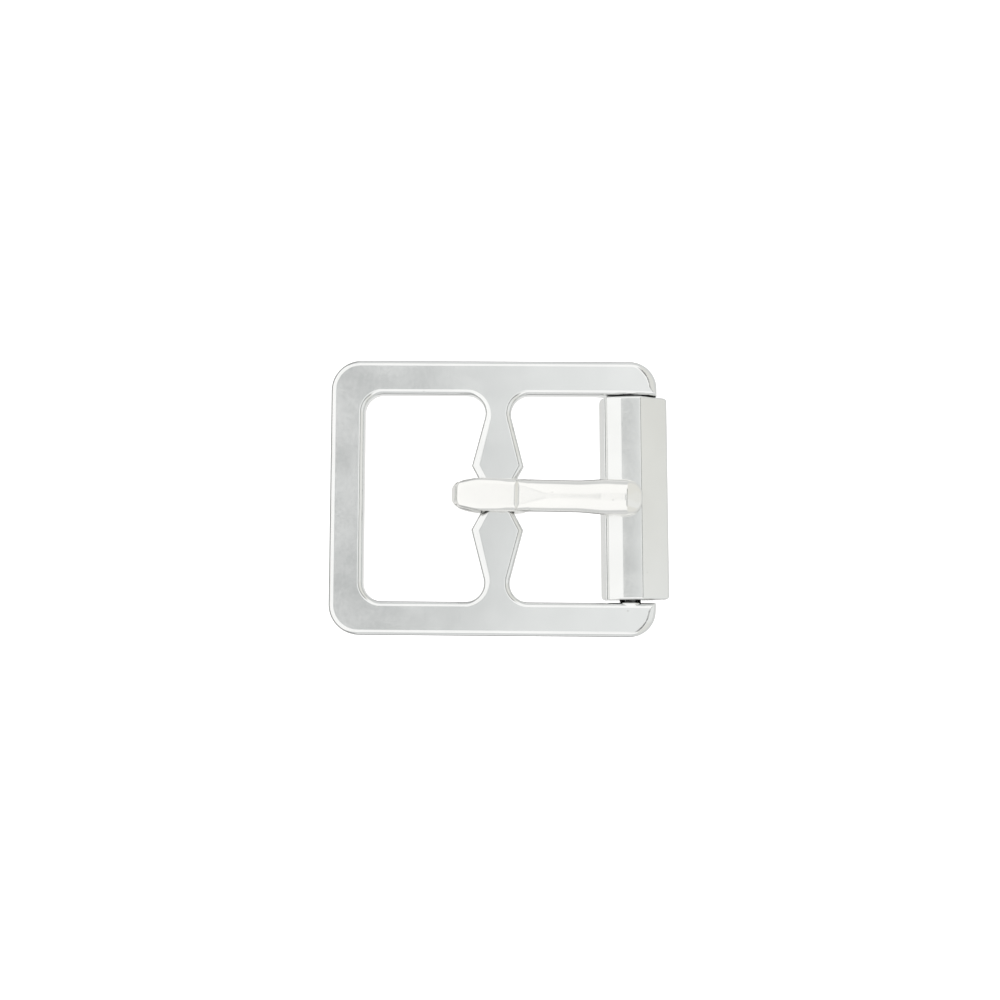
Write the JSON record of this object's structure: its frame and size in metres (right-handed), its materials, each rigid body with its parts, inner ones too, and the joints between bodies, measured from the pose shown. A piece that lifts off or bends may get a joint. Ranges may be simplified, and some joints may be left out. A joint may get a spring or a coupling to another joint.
{
  "type": "roller buckle",
  "caption": "Roller buckle with a waisted centre bar, a prong whose eye is rolled round the bar, and a folded sheet roller on a lowered end bar.",
  "frame": {"origin": "middle of the footprint, on the plane that the roller's lowest facet touches", "axes": "+X from the strap end rail to the roller, +Y along the centre bar, +Z out of the front, the side the prong lies on"},
  "size_m": [0.0418, 0.0338, 0.0097],
  "materials": {
    "frame_steel": "cast stainless steel, barrel polished, with faint brushing along the end rail and fine pits",
    "prong_steel": "bright polished stainless steel, slightly wavy, ground dull on the tip's bevel",
    "roller_steel": "folded stainless sheet, polished on its fore facets, mill-dull on the far facet"
  },
  "bodies": {
    "frame": {"frame": "frame_steel"},
    "prong": {"prong": "prong_steel"},
    "roller": {"roller": "roller_steel"}
  },
  "joints": [
    {"name": "prong_swing", "type": "hinge", "parent": "frame", "child": "prong", "pos_m": [-0.0003, 0, 0.00515], "axis": [0, -1, 0], "range_deg": [0, 158]},
    {"name": "roller_spin", "type": "hinge", "parent": "frame", "child": "roller", "pos_m": [0.01649, 0.00012, 0.0032], "axis": [-0.0175, 0.9998, 0], "continuous": true}
  ]
}
